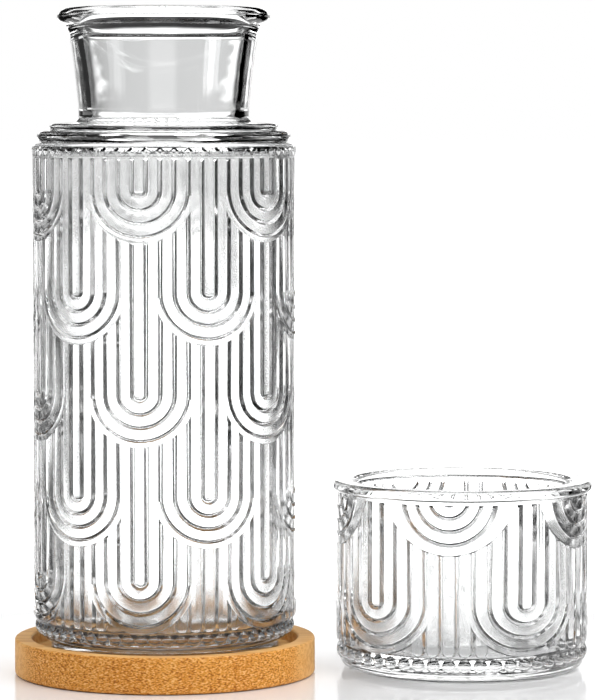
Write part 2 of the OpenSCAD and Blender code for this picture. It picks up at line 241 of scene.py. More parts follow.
class CarafeSetCoaster(bpy.types.PropertyGroup):
    """Sizes and colours of the coaster."""

    height: length("Height", "Thickness of the disc at its rim", COASTER_HIGH.z - COASTER_LOW.z)
    radius: length("Radius", "Radius of the disc", (COASTER_HIGH.x - COASTER_LOW.x) / 2)
    rim_width: length("Rim width", "Width of the raised rim", 6.5 * MM)
    recess: length("Recess", "Depth of the recess", 5.0 * MM)
    edge: length("Edge", "Rounding of the edges", 0.9 * MM)
    light: colour("Light strips", "Colour of the palest strips", (0.74, 0.325, 0.05, 1.0))
    dark: colour("Dark strips", "Colour of the darkest strips", (0.60, 0.225, 0.025, 1.0))
    fibre: colour("Fibre ends", "Colour of the fibre ends and pores", (0.30, 0.085, 0.008, 1.0))
    pale: colour("Pale fibres", "Colour of the pale fibres", (0.92, 0.55, 0.21, 1.0))


class CarafeSetStage(bpy.types.PropertyGroup):
    """Camera, floor and light."""

    lens: FloatProperty(name="Lens", description="Focal length of the camera in millimetres", default=179.8)
    away: length("Camera distance", "Distance of the camera in front of the coaster's centre", 1.300)
    eye: length("Camera height", "Height of the camera above the table", 0.2061)
    aside: length("Camera offset", "Distance of the camera to the right of the coaster's centre", 0.0496)
    tilt: FloatProperty(name="Tilt", description="How far the camera looks down", default=math.radians(3.77),
                        subtype="ANGLE")
    floor: colour("Floor", "Colour of the table top", (0.93, 0.93, 0.935, 1.0))
    fill: share("Fill light", "Strength of the light from all round", 0.72, 2.0)
    screens: share("Bright screens", "Brightness of the white screens that the glass shows", 3.0, 6.0)
    backdrop: share("Backdrop", "Brightness of the grey backdrop level with the neck", 0.76, 3.0)
    strips: share("Strips", "Brightness of two narrow lamps low in front, which the neck mirrors", 5.0, 20.0)
    left_flag: share("Left screens", "Brightness of the grey screens on the left", 0.03, 2.0)
    front_flag: share("Front screens", "Brightness of the grey screens in front", 0.06, 2.0)
    right_flag: share("Right screens", "Brightness of the dark screens on the right", 0.0, 2.0)


class Wiring:
    """Short ways to place and join the nodes of one tree."""

    def __init__(self, tree):
        self.nodes, self.links = tree.nodes, tree.links

    def join(self, node, values):
        """A node with its inputs set to values or joined to outputs."""
        for key, value in values.items():
            if isinstance(value, bpy.types.NodeSocket):
                self.links.new(value, node.inputs[key])
            else:
                node.inputs[key].default_value = value
        return node

    def node(self, kind, values=None, **settings):
        """A new node with its settings and inputs."""
        made = self.nodes.new(kind)
        for key, value in settings.items():
            setattr(made, key, value)
        return self.join(made, values or {})

    def math(self, operation, first, second=0.0):
        """One step of arithmetic."""
        return self.node("ShaderNodeMath", {0: first, 1: second}, operation=operation).outputs[0]

    def times(self, first, *others):
        """The product of several values."""
        for other in others:
            first = self.math("MULTIPLY", first, other)
        return first

    def blend(self, factor, first, second):
        """A mix of two values."""
        kept = self.times(self.math("SUBTRACT", 1.0, factor), first)
        return self.math("ADD", kept, self.times(factor, second))

    def ramp(self, value, low, high, to_low=0.0, to_high=1.0):
        """A smooth step of a value between two limits."""
        values = {"Value": value, "From Min": low, "From Max": high, "To Min": to_low, "To Max": to_high}
        return self.node("ShaderNodeMapRange", values, interpolation_type="SMOOTHSTEP").outputs["Result"]

    def between(self, value, low, high):
        """A smooth step up at one edge and down at another."""
        return self.times(self.ramp(value, *low), self.ramp(value, *high))

    def axes(self, vector):
        """The parts of a vector."""
        return self.node("ShaderNodeSeparateXYZ", {0: vector}).outputs

    def radius(self, axes):
        """The distance of a place from the upright axis."""
        squares = (self.times(axes[key], axes[key]) for key in "XY")
        return self.math("SQRT", self.math("ADD", *squares))

    def noise(self, vector, scale=1.0, detail=2.0):
        """Soft noise."""
        values = {"Vector": vector, "Scale": scale, "Detail": detail}
        return self.node("ShaderNodeTexNoise", values).outputs[0]

    def mix(self, factor, first, second):
        """A mix of two colours."""
        made = self.node("ShaderNodeMix", data_type="RGBA")
        for key, value in (("Factor_Float", factor), ("A_Color", first), ("B_Color", second)):
            index = next(i for i, socket in enumerate(made.inputs) if socket.identifier == key)
            self.join(made, {index: value})
        return next(socket for socket in made.outputs if socket.identifier == "Result_Color")


def node_group(name, kind, inputs, outputs):
    """A new node group with its inputs and outputs, each a name and the kind of its socket."""
    tree = bpy.data.node_groups.new(name, kind)
    for way, sockets in (("INPUT", inputs), ("OUTPUT", outputs)):
        for label, socket in sockets.items():
            tree.interface.new_socket(label, in_out=way, socket_type="NodeSocket" + socket)
    return tree


def put(data, material=None):
    """An object in the scene for a mesh, lamp or camera."""
    obj = bpy.data.objects.new(data.name, data)
    bpy.context.scene.collection.objects.link(obj)
    if material:
        data.materials.clear()
        data.materials.append(material)
    return obj


def drop(obj):
    """Takes a helper object and its mesh away."""
    mesh = obj.data
    bpy.data.objects.remove(obj)
    bpy.data.meshes.remove(mesh)


def finished_mesh(name, bm):
    """The mesh of a finished bmesh, which goes away."""
    mesh = bpy.data.meshes.new(name)
    bm.to_mesh(mesh)
    bm.free()
    return mesh


def evaluated_mesh(obj):
    """The mesh that an object's modifiers give."""
    graph = bpy.context.evaluated_depsgraph_get()
    return bpy.data.meshes.new_from_object(obj.evaluated_get(graph), depsgraph=graph)


def gathered(name, meshes):
    """One mesh of several, which go away."""
    bm = bmesh.new()
    for mesh in meshes:
        bm.from_mesh(mesh)
        bpy.data.meshes.remove(mesh)
    return finished_mesh(name, bm)


def smooth(mesh):
    """Shades a mesh smooth but for its crisp edges."""
    mesh.shade_smooth()
    mesh.set_sharp_from_angle(angle=math.radians(CRISP_EDGE))


def turned(name, outline):
    """A closed mesh from an outline that runs from the axis, over the outside, to the axis again."""
    bm = bmesh.new()
    rings = []
    for r, z in outline:
        turns = [math.tau * i / TURN_STEPS for i in range(TURN_STEPS)] if r > 0 else [0.0]
        rings.append([bm.verts.new((r * math.sin(t), -r * math.cos(t), z)) for t in turns])
    for low, high in zip(rings, rings[1:]):
        for i in range(TURN_STEPS):
            j = (i + 1) % TURN_STEPS
            corners = [low[i % len(low)], low[j % len(low)], high[j % len(high)], high[i % len(high)]]
            bm.faces.new(list(dict.fromkeys(corners)))
    return finished_mesh(name, bm)


def lofted(name, ribs):
    """A flat mesh of closed ribs from their rings: across the wall, up it and out from it."""
    bm = bmesh.new()
    for rings in ribs:
        loops = [[bm.verts.new(point) for point in ring] for ring in rings]
        count = len(loops[0])
        for one, two in zip(loops, loops[1:]):
            for i in range(count):
                j = (i + 1) % count
                bm.faces.new((one[i], two[i], two[j], one[j]))
        bm.faces.new(loops[0])
        bm.faces.new(loops[-1][::-1])
    return finished_mesh(name, bm)


def moulded(name, outline, steps, material, centre=(0.0, 0.0)):
    """A glass piece: its turned outline with each step's relief joined to it or cut from it."""
    body = put(turned(name + "_body", outline), material)
    tools = []
    for operation, meshes in steps:
        tool = put(gathered(f"{name}_{operation.lower()}_{len(tools)}", meshes), material)
        change = body.modifiers.new(tool.name, "BOOLEAN")
        change.operation, change.solver, change.object = operation, "MANIFOLD", tool
        tools.append(tool)
    mesh = evaluated_mesh(body)
    for helper in (body, *tools):
        drop(helper)
    if len(mesh.polygons) == 0:
        raise RuntimeError(name + ": the relief could not be joined to the body")
    mesh.name = name
    smooth(mesh)
    mesh.transform(Matrix.Translation((*centre, 0.0)))
    return put(mesh, material)


def round_the_wall():
    """The node tree that bends a flat relief to a round wall and repeats it round the axis."""
    name = "Round the wall"
    if name in bpy.data.node_groups:
        return bpy.data.node_groups[name]
    inputs = {"Geometry": "Geometry", "Wall Radius": "Float", "Crest Radius": "Float", "Copies": "Int",
              "First Bearing": "Float", "Material": "Material"}
    tree = node_group(name, "GeometryNodeTree", inputs, {"Geometry": "Geometry"})
    w = Wiring(tree)
    given = w.node("NodeGroupInput").outputs
    place = w.axes(w.node("GeometryNodeInputPosition").outputs[0])
    turn = w.math("DIVIDE", place["X"], given["Crest Radius"])
    radius = w.math("ADD", place["Z"], given["Wall Radius"])
    x, y = w.times(radius, w.math("SINE", turn)), w.times(radius, w.math("COSINE", turn), -1.0)
    bent = w.node("ShaderNodeCombineXYZ", {"X": x, "Y": y, "Z": place["Y"]})
    moved = w.node("GeometryNodeSetPosition", {"Geometry": given["Geometry"], "Position": bent.outputs[0]})
    points = w.node("GeometryNodeMeshLine", {"Offset": (0.0, 0.0, 0.0), "Count": given["Copies"]})
    step = w.math("DIVIDE", math.tau, given["Copies"])
    spin = w.times(w.node("GeometryNodeInputIndex").outputs[0], step)
    angles = w.node("ShaderNodeCombineXYZ", {"Z": w.math("ADD", spin, given["First Bearing"])})
    copies = w.node("GeometryNodeInstanceOnPoints", {
        "Points": points.outputs["Mesh"], "Instance": moved.outputs[0], "Rotation": angles.outputs[0]})
    real = w.node("GeometryNodeRealizeInstances", {0: copies.outputs[0]})
    glazed = w.node("GeometryNodeSetMaterial", {"Geometry": real.outputs[0], "Material": given["Material"]})
    w.node("NodeGroupOutput", {0: glazed.outputs[0]})
    return tree


class Wall:
    """A round wall of glass: reliefs are made flat, bent to it and repeated round the axis."""

    def __init__(self, radius, crest, columns, relief, glass):
        self.radius, self.crest, self.columns, self.relief, self.glass = radius, crest, columns, relief, glass
        self.ribs = columns * RIBS_PER_COLUMN
        self.pitch = crest * math.tau / columns / RIBS_PER_COLUMN

    def repeated(self, mesh, copies, turn=0.0):
        """The mesh of a flat relief bent to the wall and repeated, from a turn beside the first column."""
        obj = put(mesh)
        tree = round_the_wall()
        modifier = obj.modifiers.new(tree.name, "NODES")
        modifier.node_group = tree
        values = {"Wall Radius": self.radius, "Crest Radius": self.crest, "Copies": copies,
                  "First Bearing": self.relief.first_bearing + turn, "Material": self.glass}
        for item in tree.interface.items_tree:
            if item.in_out == "INPUT" and item.name in values:
                modifier[item.identifier] = values[item.name]
        result = evaluated_mesh(obj)
        drop(obj)
        return result


def section(half_width, height):
    """Points across a rib, from one foot over the crest to the other: across it and out from the wall."""
    half = [(across * half_width, out * height) for across, out in RIB_SHAPE]
    crest = [(-across, out) for across, out in half[:-1]] + half[::-1]
    return [(-half_width, -SUNK), *crest, (half_width, -SUNK)]


def lowered(out, share_left):
    """Height of a rib's point where its end is rounded down to the wall."""
    return out if out < 0 else out * share_left - TIP_DIP * (1 - share_left)


def rounded_end(turn):
    """Shares at a turn of a rib's rounded end: of its width, of its height and of the way to its tip."""
    angle = math.radians(turn)
    return max(math.cos(angle), TIP_WIDTH), math.cos(angle) ** END_POWER, math.sin(angle)


def top_at(tops, x):
    """Height where a leg ends: a height, or the place across, height, radius and squash of an arch above."""
    if not isinstance(tops, tuple):
        return tops
    over, up, reach, squash = tops
    return up - squash * math.sqrt(max(0.0, reach ** 2 - (abs(x) - over) ** 2))


def leg_end(points, s, side, tops, pitch):
    """Rings of a leg's rounded top, from its tip down: tops is a height or the border of an arch above."""
    rings = []
    for turn in END_TURNS:
        wide, tall, way = rounded_end(turn)
        back = END_LENGTH * pitch * (1 - way)
        places = [(s + across * wide * side, out) for across, out in points]
        rings.append([(x, top_at(tops, x) - back, lowered(out, tall)) for x, out in places])
    return rings


def straight_rib(points, s, low, tops, pitch):
    """Rings of a straight rib with a rounded bottom, from its top down."""
    rings = leg_end(points, s, 1, tops, pitch)
    rings.append([(s + across, low, out) for across, out in points])
    for turn in reversed(END_TURNS):
        wide, tall, way = rounded_end(turn)
        down = low - END_LENGTH * pitch * way
        rings.append([(s + across * wide, down, lowered(out, tall)) for across, out in points])
    return rings


def arch_ring(points, radius, t, low, squash):
    """The ring of an arch at one turn round its bottom."""
    return [((radius - across) * math.cos(t), low + squash * (radius - across) * math.sin(t), out)
            for across, out in points]


def arch_rib(points, k, low, tops, pitch, squash):
    """Rings of an arch rib: down the left leg, round the bottom and up the right leg, or the bottom alone."""
    radius, steps = k * pitch, ARCH_STEPS[k - 1]
    rings = [arch_ring(points, radius, math.pi * (1 + i / steps), low, squash) for i in range(steps + 1)]
    if tops is None:
        return rings
    left, right = leg_end(points, -radius, 1, tops, pitch), leg_end(points, radius, -1, tops, pitch)
    return left + rings + right[::-1]


def border(low, inner, outer, relief, squash, dip):
    """Rings of the band under an arch, from its inner radius to the outer one at each turn."""
    rings = []
    for i in range(BORDER_STEPS + 1):
        t = math.radians(180 + dip + (180 - 2 * dip) * i / BORDER_STEPS)
        half = (outer(t) - inner) / 2
        points = section(half, relief.rib_height * relief.border_height)
        rings.append(arch_ring(points, inner + half, t, low, squash))
    return rings


def rim_arch(low, pitch, inner, relief, size):
    """Ribs and border of a smaller arch that the tumbler's rim cuts: the border widens to the sides."""
    small = size.rim_row_size * pitch
    points = section(relief.rib_fill * small / 2, relief.rib_height)
    rise, reach = size.rim_border_up - size.rim_row_up, size.rim_border_reach * pitch
    ribs = [arch_rib(points, k, low, None, small, 1.0) for k in range(1, NESTED + 1)]

    def outer(t):
        return rise * math.sin(t) + math.sqrt(reach ** 2 - (rise * math.cos(t)) ** 2)

    return ribs, border(low, inner * small, outer, relief, 1.0, 0)


def arches(name, rows, foot, top, wall, size, rim_row=False):
    """Meshes of all ribs round a wall, row by row from the top, and of the borders under the arches."""
    relief, pitch = wall.relief, wall.pitch
    points = section(relief.rib_fill * pitch / 2, relief.rib_height)
    aside, reach = RIBS_PER_COLUMN * pitch, relief.border_reach * pitch
    inner = NESTED + 1 - relief.rib_fill / 2
    edges = [(low, (NESTED + 1 - LEG_LAP) * pitch, size.squash) for low in rows]
    if rim_row:
        rise = size.rim_border_up - size.rim_row_up
        edges[0] = (rows[0] + rise, (size.rim_border_reach - LEG_LAP) * pitch, 1.0)
    ribs_made, borders_made = [], []

    def add(made, label, ribs, row):
        turn = row % 2 * math.tau / wall.columns
        made.append(wall.repeated(lofted(label, ribs), wall.columns // 2, turn))

    for row, low in enumerate(rows):
        if rim_row and row == 0:
            ribs, band = rim_arch(low, pitch, inner, relief, size)
        else:
            middle = top if row < 2 else (0.0, *edges[row - 2])
            sides = top if row < 1 else (aside, *edges[row - 1])
            ribs = [straight_rib(points, 0.0, low, middle, pitch)]
            for k in range(1, NESTED + 1):
                ribs.append(arch_rib(points, k, low, middle if k < 2 else sides, pitch, size.squash))
            band = border(low, inner * pitch, lambda t: reach, relief, size.squash, BORDER_DIP)
        add(ribs_made, f"{name}_row_{row}", ribs, row)
        add(borders_made, f"{name}_border_{row}", [band], row)
    under, beside = (0.0, *edges[-2]), (aside, *edges[-1])
    between = [straight_rib(points, k * pitch, foot + pitch / 2, under if abs(k) < 2 else beside, pitch)
               for k in (-2, -1, 0, 1, 2)]
    add(ribs_made, name + "_between", between, len(rows))
    return ribs_made, borders_made


def bead_row(name, wall, top, inset):
    """Mesh of a row of beads below a height, one under each rib, which rise less than their radius."""
    bm = bmesh.new()
    radius = wall.pitch / 2 * wall.relief.bead_fill
    size = Matrix.Diagonal((radius, radius, wall.relief.bead_rise * radius, 1.0))
    shape = Matrix.Translation((0, top - radius, -inset)) @ size
    bmesh.ops.create_icosphere(bm, subdivisions=2, radius=1.0, matrix=shape)
    return wall.repeated(finished_mesh(name, bm), wall.ribs)


def pits(name, wall, z, wide, tall, deep, beside):
    """Mesh that cuts a row of flat diamond pits, at a share of the pitch beside the ribs' middles."""
    bm = bmesh.new()
    crest, corners = wall.relief.rib_height, ((-1, 0), (0, -1), (1, 0), (0, 1))
    inner, outer = [
        [bm.verts.new((x * scale * wide, z + y * scale * tall, out)) for x, y in corners]
        for scale, out in ((PIT_FLOOR, crest - deep), (PIT_MOUTH, crest + deep / 2))]
    for i in range(len(corners)):
        j = (i + 1) % len(corners)
        bm.faces.new((inner[i], inner[j], outer[j], outer[i]))
    bm.faces.new(outer)
    bm.faces.new(inner[::-1])
    return wall.repeated(finished_mesh(name, bm), wall.ribs, math.tau / wall.ribs * beside)


def arc(centre, radii, start, end, steps):
    """Points of an arc in an outline, from one angle to another in degrees."""
    turns = [math.radians(start + (end - start) * i / steps) for i in range(steps + 1)]
    return [(centre[0] + radii[0] * math.cos(t), centre[1] + radii[1] * math.sin(t)) for t in turns]


def underside(foot, z, middle_up, edge_up):
    """Points of a glass's slightly hollow underside, from its middle to the ring that it stands on."""
    return [(0.0, z + middle_up), (foot - HOLLOW_DEEP, z + edge_up), (foot - HOLLOW_END, z)]


def base_turn(foot, z, side, high):
    """Points of the rounded turn from the foot of a glass up to its side."""
    start = 75
    part = math.cos(math.radians(start))
    middle = (foot - part * side) / (1 - part)
    return arc((middle, z + high * math.sin(math.radians(start))), (side - middle, high), -start, 0, 10)


def carafe_outline(size, relief):
    """The carafe's outline, from the middle of its underside to the middle of its inside floor."""
    foot, top, foot_radius = size.foot, size.top, size.foot_radius
    upper = top - size.neck_height
    lower = upper - size.upper_height
    shoulder = lower - size.lower_height
    ribs_top = shoulder - size.shoulder_height
    band = foot + size.foot_height
    ribs_foot = band + size.band_height
    wall = size.body_radius - relief.rib_height
    inside, floor = wall - size.wall, foot + size.base
    throat, neck_inside = size.neck_top_radius - size.neck_wall, size.neck_foot_radius - size.neck_wall
    flare = size.neck_top_radius - size.neck_foot_radius
    # Roundings of the foot, the turn to the shoulder, the neck's foot, the lip's inside and the inside floor
    edge, turn_out, fillet, inner_lip, turn = 1.6 * MM, 2.0 * MM, 3.0 * MM, 3.4 * MM, 9.0 * MM
    step, roll = size.upper_height / 2, size.lower_height / 2
    # Slope from the wall to the collar above the ribs, as depths below their top
    collar, slope_foot, slope_top = size.body_radius + PROUD, 3.4 * MM, 2.4 * MM
    # Turn above the foot: how far inside the wall it ends and its height, and the gap under the shoulder
    base_in, base_high, gap = 0.8 * MM, size.band_height * 0.55, 0.1 * MM
    lip_middle, lip_half = size.lip_radius - size.lip_height * LIP_DEPTH, size.lip_height / 2
    throat_low = top - size.lip_height * 0.8
    # Dome inside the shoulder: its start beside the neck, its foot, and its rise above the shoulder
    dome_in, bend, dome_up = 2.0 * MM, ribs_top - 2.0 * MM, 1.5 * MM
    dome = (inside - neck_inside - dome_in, shoulder - bend + dome_up)

    neck_low, neck_high, neck_steps = upper + fillet + 0.4 * MM, top - size.lip_height, 12
    neck = []
    for i in range(1, neck_steps):
        s = i / neck_steps
        out = size.neck_foot_radius + flare * (0.5 * s + 0.5 * s * s)
        neck.append((out, neck_low + (neck_high - neck_low) * s))
    return [
        *underside(foot_radius, foot, 1.6 * MM, 1.2 * MM),
        *arc((foot_radius - edge, foot + edge), (edge, edge), -90, 0, 6),
        *base_turn(foot_radius, band, wall - base_in, base_high),
        (wall, ribs_foot), (wall, ribs_top - slope_foot), (collar, ribs_top - slope_top),
        *arc((collar - turn_out, shoulder - turn_out - gap), (turn_out, turn_out), 0, 80, 8),
        *arc((size.lower_radius - roll, shoulder + roll), (roll, roll), -80, 80, 14),
        *arc((size.upper_radius - step, lower + step), (step, step), -60, 90, 9),
        *arc((size.neck_foot_radius + fillet, neck_low), (fillet, fillet), 270, 180, 8),
        *neck,
        *arc((lip_middle, top - lip_half), (size.lip_radius - lip_middle, lip_half), -65, 90, 18),
        *arc((throat + inner_lip, top - inner_lip), (inner_lip, inner_lip), 100, 180, 8),
        (throat, throat_low),
        *[(r - size.neck_wall, z) for r, z in reversed(neck)],
        (neck_inside, upper + dome_in),
        *arc((neck_inside + dome_in, bend), dome, 75, 0, 14),
        *arc((inside - turn, floor + turn), (turn, turn), 0, -90, 12),
        (0.0, floor),
    ]


def tumbler_outline(size, relief):
    """The tumbler's outline, from the middle of its underside to the middle of its inside floor."""
    wall, inside = size.inside_radius + size.wall, size.inside_radius
    body = wall + relief.rib_height
    foot = body - size.foot_in
    rim = body + size.rim_out
    ribs_top = size.height - size.rim_height
    # Roundings of the rim and of the inside floor
    edge, turn = 1.6 * MM, 6.0 * MM
    # Slope from the wall to the collar under the rim, as depths below the ribs' top
    collar, slope_foot, slope_top = body + PROUD, 2.2 * MM, 1.1 * MM
    base_in, base_high = 0.2 * MM, size.foot_height * 1.05
    return [
        *underside(foot, 0.0, 1.4 * MM, 1.0 * MM),
        *base_turn(foot, 0.0, wall - base_in, base_high),
        (wall, size.foot_height + size.band_height),
        (wall, ribs_top - slope_foot), (collar, ribs_top - slope_top),
        *arc((rim - edge, ribs_top + edge), (edge, edge), -90, 0, 7),
        *arc((rim - edge, size.height - edge), (edge, edge), 0, 90, 7),
        *arc((inside + edge, size.height - edge), (edge, edge), 90, 180, 7),
        *arc((inside - turn, size.base + turn), (turn, turn), 0, -90, 10),
        (0.0, size.base),
    ]


def coaster_outline(size):
    """The coaster's outline: a disc with a raised rim."""
    edge, recess, corner = size.edge, size.radius - size.rim_width, 0.5 * MM
    floor = size.height - size.recess
    return [
        (0.0, 0.0),
        *arc((size.radius - edge, edge), (edge, edge), -90, 0, 6),
        *arc((size.radius - edge, size.height - edge), (edge, edge), 0, 90, 6),
        *arc((recess + edge, size.height - edge), (edge, edge), 90, 180, 6),
        *arc((recess - corner, floor + corner), (corner, corner), 0, -90, 3),
        (0.0, floor),
    ]


def new_material(name):
    """A new material, the wiring of its nodes, and its main shader."""
    material = bpy.data.materials.new(name)
    material.use_nodes = True
    return material, Wiring(material.node_tree), material.node_tree.nodes["Principled BSDF"]


def mould_marks():
    """The shader group for the slight unevenness that a mould and its plunger leave in glass."""
    name = "Mould marks"
    if name in bpy.data.node_groups:
        return bpy.data.node_groups[name]
    inputs = {"Vector": "Vector", "Low": "Float", "High": "Float", "Within": "Float", "Polished": "Float",
              "Plunger": "Float"}
    outputs = {"Roughness": "Float", "Height": "Float", "Tint": "Color"}
    tree = node_group(name, "ShaderNodeTree", inputs, outputs)
    w = Wiring(tree)
    given = w.node("NodeGroupInput").outputs
    axes = w.axes(given["Vector"])
    above = w.math("GREATER_THAN", axes["Z"], given["Low"])
    below = w.math("LESS_THAN", axes["Z"], given["High"])
    inside = w.times(above, below, w.math("LESS_THAN", w.radius(axes), given["Within"]))
    ripple = w.noise(given["Vector"], RIPPLE_SCALE)
    fine = w.noise(given["Vector"], FINE_SCALE, 3.0)
    spread = w.math("SUBTRACT", given["Plunger"], given["Polished"])
    rough = w.math("ADD", given["Polished"], w.times(inside, spread))
    w.node("NodeGroupOutput", {"Roughness": w.times(rough, w.ramp(fine, *FINE_ROUGHNESS)), "Height": ripple,
                               "Tint": w.mix(w.ramp(ripple, *RIPPLE_TINT), *TINTS)})
    return tree


def clear_glass(name, centre, low, high, within):
    """Clear glass, polished but for the moulded wall's inside: between two heights, within a radius."""
    material, w, shader = new_material(name)
    place = w.node("ShaderNodeMapping", {"Vector": w.node("ShaderNodeTexCoord").outputs["Object"],
                                         "Location": (-centre[0], -centre[1], 0.0)})
    values = {"Vector": place.outputs[0], "Low": low, "High": high, "Within": within, "Polished": POLISHED,
              "Plunger": PLUNGER}
    marks = w.node("ShaderNodeGroup", values, node_tree=mould_marks()).outputs
    bump = w.node("ShaderNodeBump", {"Strength": RIPPLE_STRENGTH, "Distance": RIPPLE_DEPTH,
                                     "Height": marks["Height"]})
    w.join(shader, {"Transmission Weight": 1.0, "IOR": GLASS_IOR, "Base Color": marks["Tint"],
                    "Roughness": marks["Roughness"], "Normal": bump.outputs[0]})
    return material


def bamboo(size):
    """Oiled bamboo: pressed strips, with long fibres on top and fibre ends on the side's front and back."""
    material, w, shader = new_material("bamboo")
    place = w.node("ShaderNodeTexCoord").outputs["Object"]
    axes = w.axes(place)
    strip = w.math("FLOOR", w.math("DIVIDE", axes["X"], STRIP_WIDTH))
    tone = w.node("ShaderNodeTexWhiteNoise", {"W": strip}, noise_dimensions="1D").outputs["Value"]
    along = w.node("ShaderNodeMapping", {"Vector": place, "Scale": FIBRE_SCALE}).outputs[0]
    fibres = w.noise(along, detail=3.0)
    leaning = w.node("ShaderNodeMapping", {"Vector": place, "Rotation": ENDS_LEAN, "Scale": ENDS_SCALE})
    ends = w.noise(leaning.outputs[0])
    broad = w.noise(place, BROAD_SCALE)
    outside = w.ramp(w.radius(axes), *(size.radius - depth for depth in ENDS_DEPTH))
    across = w.ramp(w.math("ABSOLUTE", axes["X"]), *(part * size.radius for part in ENDS_ACROSS))
    side = w.times(outside, across)
    plain = w.math("SUBTRACT", 1.0, side)
    mixed = w.math("ADD", w.times(tone, STRIP_SHARE), w.times(broad, BROAD_SHARE))
    base = w.mix(mixed, tuple(size.dark), tuple(size.light))
    layers = ((plain, fibres, PALE_FIBRES, size.pale), (side, ends, DARK_ENDS, size.fibre),
              (side, ends, PALE_ENDS, size.pale))
    for where, noise, limits, shade in layers:
        base = w.mix(w.times(where, w.ramp(noise, *limits)), base, tuple(shade))
    bump = w.node("ShaderNodeBump", {"Strength": GRAIN_STRENGTH, "Distance": GRAIN_DEPTH, "Height": fibres})
    w.join(shader, {"Specular IOR Level": BAMBOO_SPECULAR, "Base Color": base,
                    "Roughness": w.ramp(fibres, *FIBRE_ROUGHNESS), "Normal": bump.outputs[0]})
    return material


def screen_light(w, stage, way, bearing, folded):
    """The screens: bright behind and dimmer in front, with dark ones beside these and in a ring above."""
    back = w.ramp(way["Y"], *MIDDLE, FRONT_SHARE * stage.screens, stage.screens)
    bright = w.times(back, w.ramp(way["Z"], *LOW_LIGHT))
    upright = w.between(way["Z"], SCREEN_FOOT, SCREEN_TOP)
    beside = w.times(upright, w.ramp(w.math("ABSOLUTE", folded), *WINDOW_SIDE))
    dark = w.math("MAXIMUM", beside, w.between(way["Z"], RING_FOOT, SCREEN_TOP))
    across = w.ramp(way["X"], *MIDDLE, stage.left_flag, stage.right_flag)
    front = w.ramp(w.math("ABSOLUTE", bearing), *FRONT_SIDE)
    return w.blend(dark, bright, w.blend(front, across, stage.front_flag))


def neck_light(w, stage, folded):
    """The backdrop level with the neck, from left to right: white, dark grey, grey, brighter and black."""
    left = w.math("ADD", w.ramp(folded, *NECK_GREY, NECK_DARK, stage.backdrop), w.ramp(folded, *NECK_WHITE))
    right = w.math("SUBTRACT", w.ramp(folded, *NECK_BRIGHTER), w.ramp(folded, *NECK_BLACK))
    return w.math("MAXIMUM", w.math("ADD", left, right), 0.0)


def studio(stage):
    """The world: white to the camera, even for the wood, and screens, a backdrop and strips for the glass."""
    world = bpy.data.worlds.new("Studio")
    bpy.context.scene.world = world
    world.use_nodes = True
    w = Wiring(world.node_tree)
    world.node_tree.nodes.clear()
    paths = w.node("ShaderNodeLightPath").outputs
    way = w.axes(w.node("ShaderNodeTexCoord").outputs["Generated"])
    bearing = w.math("ARCTAN2", way["X"], way["Y"])
    # The same bearing with the front folded over the back
    folded = w.math("ARCTAN2", way["X"], w.math("ABSOLUTE", way["Y"]))
    neck_band = w.between(way["Z"], NECK_FOOT, NECK_TOP)
    level = w.blend(neck_band, screen_light(w, stage, way, bearing, folded), neck_light(w, stage, folded))
    strips = w.math("ADD", w.between(bearing, *RIGHT_STRIP), w.between(bearing, *LEFT_STRIP))
    low = w.between(way["Z"], STRIP_FOOT, STRIP_TOP)
    level = w.math("ADD", level, w.times(low, strips, stage.strips, paths["Is Glossy Ray"]))
    even = w.blend(paths["Is Diffuse Ray"], level, stage.fill)
    strength = w.math("MAXIMUM", even, paths["Is Camera Ray"])
    light = w.node("ShaderNodeBackground", {"Color": WHITE, "Strength": strength})
    w.node("ShaderNodeOutputWorld", {"Surface": light.outputs[0]})


def table_top(stage):
    """The pale floor, which fades to plain white away from the object and, through glass, behind it."""
    material, w, shader = new_material("table_top")
    place = w.node("ShaderNodeTexCoord").outputs["Object"]
    dark = (*(part * MOTTLE_DARK for part in stage.floor[:3]), 1.0)
    w.join(shader, {"Roughness": TABLE_ROUGHNESS, "Specular IOR Level": TABLE_SPECULAR,
                    "Base Color": w.mix(w.noise(place, MOTTLE_SCALE), dark, tuple(stage.floor))})
    middle = (stage.aside, 0.0, 0.0)
    away = w.node("ShaderNodeVectorMath", {0: place, 1: middle}, operation="DISTANCE").outputs["Value"]
    paths = w.node("ShaderNodeLightPath").outputs
    through = paths["Is Transmission Ray"]
    gain = w.math("ADD", 1.0, w.times(through, BEHIND_GAIN))
    white = w.node("ShaderNodeEmission", {"Color": WHITE, "Strength": gain})
    seen = w.math("MAXIMUM", paths["Is Camera Ray"], paths["Is Glossy Ray"])
    fade = w.math("ADD", w.times(w.ramp(away, *WHITE_ROUND), seen),
                  w.times(w.ramp(w.axes(place)["Y"], *WHITE_BEHIND), through))
    both = w.node("ShaderNodeMixShader", {0: fade, 1: shader.outputs[0], 2: white.outputs[0]})
    w.join(material.node_tree.nodes["Material Output"], {"Surface": both.outputs[0]})
    return material


class CARAFESET_OT_coaster(bpy.types.Operator):
    """Turn the bamboo coaster"""

    bl_idname = "carafe_set.coaster"
    bl_label = "Turn the coaster"

    def execute(self, context):
        size = context.scene.carafe_set_coaster
        mesh = turned("coaster_disc", coaster_outline(size))
        smooth(mesh)
        disc = put(mesh, bamboo(size))
        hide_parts("coaster")
        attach(disc, "coaster")
        return {"FINISHED"}


